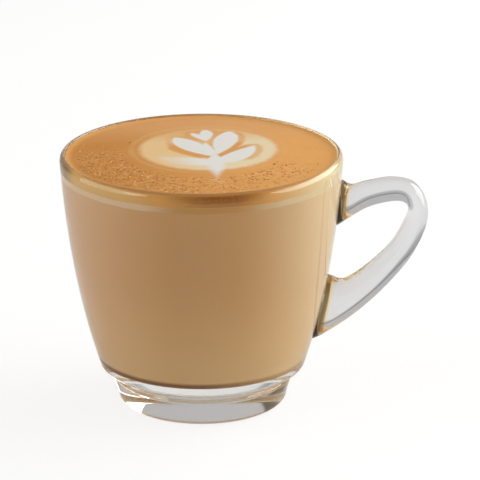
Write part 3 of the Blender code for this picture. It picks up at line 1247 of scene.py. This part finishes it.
@dataclass
class Bubbles:
    """Small bubbles scattered over the crema by Geometry Nodes."""

    density: float = 300000.0
    smallest: float = 0.10 * MM
    largest: float = 0.34 * MM
    seed: int = 7

    def build_tree(self) -> bpy.types.NodeTree:
        """Scatter points by the crema's own bubbly zone and stand a small ball on each.

        Returns:
            The tree.
        """
        inputs = {"Crema": "Geometry", "Density": "Float", "Smallest": "Float", "Largest": "Float"}
        inputs |= {"Seed": "Int", "Material": "Material"}
        graph, take = open_tree("bubble_scatter", inputs, "Bubbles")
        zone, top = (
            graph.add("GeometryNodeInputNamedAttribute", {"data_type": "FLOAT"}, {"Name": name})
            for name in ("bubbly", "top")
        )
        points = graph.add(
            "GeometryNodeDistributePointsOnFaces",
            {"distribute_method": "RANDOM"},
            {"Mesh": take["Crema"], "Density": zone * zone * top * take["Density"], "Seed": take["Seed"]},
        )
        draw = {2: 0.0, 3: 1.0, "Seed": take["Seed"]}
        random = graph.add("FunctionNodeRandomValue", {"data_type": "FLOAT"}, draw, 1)
        size = take["Smallest"] + random * random * random * (take["Largest"] - take["Smallest"])
        ball = graph.add("GeometryNodeMeshIcoSphere", links={"Radius": 1.0, "Subdivisions": 2})
        spread = {"Points": points, "Instance": ball, "Scale": size}
        balls = graph.add("GeometryNodeInstanceOnPoints", links=spread)
        close_tree(graph, balls, take["Material"], "Bubbles")
        return graph.tree

    def build(self, crema: bpy.types.Object) -> bpy.types.Object:
        """Make the bubbles, one joined mesh on the crema.

        Args:
            crema: the layer that carries them.

        Returns:
            The bubbles.
        """
        obj = bpy.data.objects.new("crema_bubbles", crema.data.copy())
        bpy.context.scene.collection.objects.link(obj)
        values = {"Density": self.density, "Smallest": self.smallest, "Largest": self.largest}
        run_tree(obj, self.build_tree(), {**values, "Seed": self.seed, "Material": BubbleSkin().material()})
        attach(obj, ROOT)
        LOG.info("bubbles: %d faces", len(obj.data.polygons))
        return obj


@dataclass(frozen=True)
class SoftBox:
    """One large soft light that faces the cup, its azimuth 0 before the cup and 90 at the handle."""

    name: str
    azimuth: float
    elevation: float
    width: float
    height: float
    watts: float
    colour: Colour
    roll: float = 0.0
    distance: float = 0.75
    aim: float = 45 * MM

    def build(self) -> None:
        """Hang the light."""
        data = bpy.data.lights.new(self.name, "AREA")
        data.shape = "RECTANGLE"
        data.size, data.size_y = self.width, self.height
        data.energy = self.watts
        data.color = self.colour
        light = bpy.data.objects.new(self.name, data)
        turn, lift = math.radians(self.azimuth), math.radians(self.elevation)
        away = Vector((math.sin(turn) * math.cos(lift), -math.cos(turn) * math.cos(lift), math.sin(lift)))
        light.location = away * self.distance + Vector((0, 0, self.aim))
        light.rotation_mode = "QUATERNION"
        turned = Quaternion((0, 0, 1), math.radians(self.roll))
        light.rotation_quaternion = away.to_track_quat("Z", "Y") @ turned
        bpy.context.scene.collection.objects.link(light)


@dataclass
class Studio:
    """A plain pale floor, soft boxes and an even pale surround.

    The floor's far zone is in millimetres, the zones round the cup in degrees, and the overhead zone a
    share of straight up.
    """

    floor_size: float = 6.0
    floor_drop: float = 0.05 * MM
    floor_colour: Colour = (0.80, 0.80, 0.80)
    floor_grain: float = 0.985
    floor_glow: float = 1.10
    glow_share: float = 0.72
    far_zone: Point = (220.0, 380.0)
    far_dim: float = 0.42
    room: Colour = (0.30, 0.29, 0.28)
    dark: Colour = (0.045, 0.036, 0.022)
    dark_zone: Point = (-61.0, -55.0)
    background: Colour = (0.50, 0.49, 0.485)
    background_zone: Point = (-41.0, -35.0)
    room_zone: Point = (55.0, 65.0)
    overhead: Colour = (0.42, 0.42, 0.42)
    overhead_zone: Point = (0.45, 0.75)
    boxes: tuple = (
        SoftBox("key", 100.0, 21.0, 1.27, 0.5, 8.8, (1.0, 0.99, 0.96), 14.0),
        SoftBox("fill", -80.0, 17.0, 0.90, 0.6, 3.3, (0.98, 0.99, 1.0)),
        SoftBox("glint", -54.0, 17.0, 0.26, 0.2, 0.5, (1.0, 0.99, 0.98)),
    )

    def floor_material(self) -> bpy.types.Material:
        """Build the floor's finish, which looks near white itself and sends plain light to the glass.

        Returns:
            The material.
        """
        material, graph = finish_named("pale_floor")
        darker = tuple(channel * self.floor_grain for channel in self.floor_colour)
        shade = graph.mix(graph.noise(30 * MM, 2.0), self.floor_colour, darker)
        straight = 1 - graph.add("ShaderNodeLightPath", out="Diffuse Depth").math("MINIMUM", 1.0)
        through = straight * graph.add("ShaderNodeLightPath", out="Is Transmission Ray")
        far = graph.rise(graph.from_axis(), *self.far_zone)
        shade = graph.mix(far * through * self.far_dim, shade, BLACK)
        plain = graph.add("ShaderNodeBsdfDiffuse", links={"Color": shade})
        glow = graph.add("ShaderNodeEmission", links={"Strength": self.floor_glow})
        seen = graph.add("ShaderNodeLightPath", out="Is Camera Ray") * self.glow_share
        both = graph.add("ShaderNodeMixShader", links={0: seen, 1: plain, 2: glow})
        graph.add("ShaderNodeOutputMaterial", links={"Surface": both})
        return material

    def surround(self) -> bpy.types.World:
        """Build the even surround, pale behind the cup and overhead and dark at its left.

        Returns:
            The world.
        """
        world = bpy.data.worlds.new("surround")
        world.use_nodes = True
        graph = Graph(world.node_tree)
        toward = graph.add("ShaderNodeTexCoord", out="Generated")
        along, deep, up = (
            graph.add("ShaderNodeSeparateXYZ", links={0: toward}, out=name) for name in ("X", "Y", "Z")
        )
        turn = along.math("ARCTAN2", deep) * math.degrees(1)
        shade = graph.mix(graph.rise(turn, *self.dark_zone), self.room, self.dark)
        shade = graph.mix(graph.rise(turn, *self.background_zone), shade, self.background)
        shade = graph.mix(graph.rise(turn, *self.room_zone), shade, self.room)
        shade = graph.mix(graph.rise(up, *self.overhead_zone), shade, self.overhead)
        light = graph.add("ShaderNodeBackground", links={"Color": shade})
        graph.add("ShaderNodeOutputWorld", links={"Surface": light})
        return world

    def build(self) -> None:
        """Lay the floor, hang the boxes and set the surround."""
        signs = np.array([(-1, -1, 0), (1, -1, 0), (1, 1, 0), (-1, 1, 0)])
        corners = signs * self.floor_size / 2 - (0, 0, self.floor_drop)
        add_mesh("floor", corners, [(0, 1, 2, 3)], self.floor_material())
        for box in self.boxes:
            box.build()
        scene = bpy.context.scene
        scene.world = self.surround()
        scene.view_settings.view_transform = "Standard"
        scene.cycles.use_denoising = True
        scene.cycles.max_bounces = 24
        scene.cycles.transmission_bounces = 16
        scene.cycles.glossy_bounces = 8


@dataclass(frozen=True)
class PhotoCamera:
    """The photograph's own camera, found from the rim, the foot and the handle's place."""

    distance: float = 0.800
    elevation: float = 19.59
    aim_height: float = 37.5 * MM
    focal_pixels: float = 2692.4
    frame_pixels: float = 480.0
    right_pixels: float = 38.02
    up_pixels: float = 36.035
    roll: float = -0.11
    sensor: float = 36.0
    clip: Point = (0.05, 20.0)

    def build(self) -> bpy.types.Object:
        """Place the camera and make it the scene's own.

        Returns:
            The camera.
        """
        lift = math.radians(self.elevation)
        eye = Vector((0, -math.cos(lift), math.sin(lift))) * self.distance + Vector((0, 0, self.aim_height))
        ahead = Vector((0, math.cos(lift), -math.sin(lift)))
        right = Vector((1, 0, 0))
        up = right.cross(ahead)
        ahead += right * (self.right_pixels / self.focal_pixels)
        ahead += up * (self.up_pixels / self.focal_pixels)
        ahead.normalize()
        right = ahead.cross(Vector((0, 0, 1))).normalized()
        up = right.cross(ahead)
        cos, sin = math.cos(math.radians(self.roll)), math.sin(math.radians(self.roll))
        turned = Matrix((right * cos + up * sin, up * cos - right * sin, -ahead)).transposed()
        data = bpy.data.cameras.new("photo_camera")
        data.sensor_width = self.sensor
        data.lens = self.focal_pixels / self.frame_pixels * self.sensor
        data.clip_start, data.clip_end = self.clip
        camera = bpy.data.objects.new("photo_camera", data)
        camera.matrix_world = Matrix.Translation(eye) @ turned.to_4x4()
        bpy.context.scene.collection.objects.link(camera)
        bpy.context.scene.camera = camera
        return camera


def main() -> None:
    """Build the camera, the cup, the drink, its bubbles and the studio."""
    logging.basicConfig(level=logging.INFO, format="%(name)s %(message)s")
    PhotoCamera().build()
    shaper = TurnedShape()
    glass = GlassCup(shaper)
    glass.build()
    drink = Drink(glass, shaper)
    drink.make_latte()
    drink.make_foam()
    crema = drink.make_crema()
    Bubbles().build(crema)
    Studio().build()


if __name__ == "__main__":
    main()
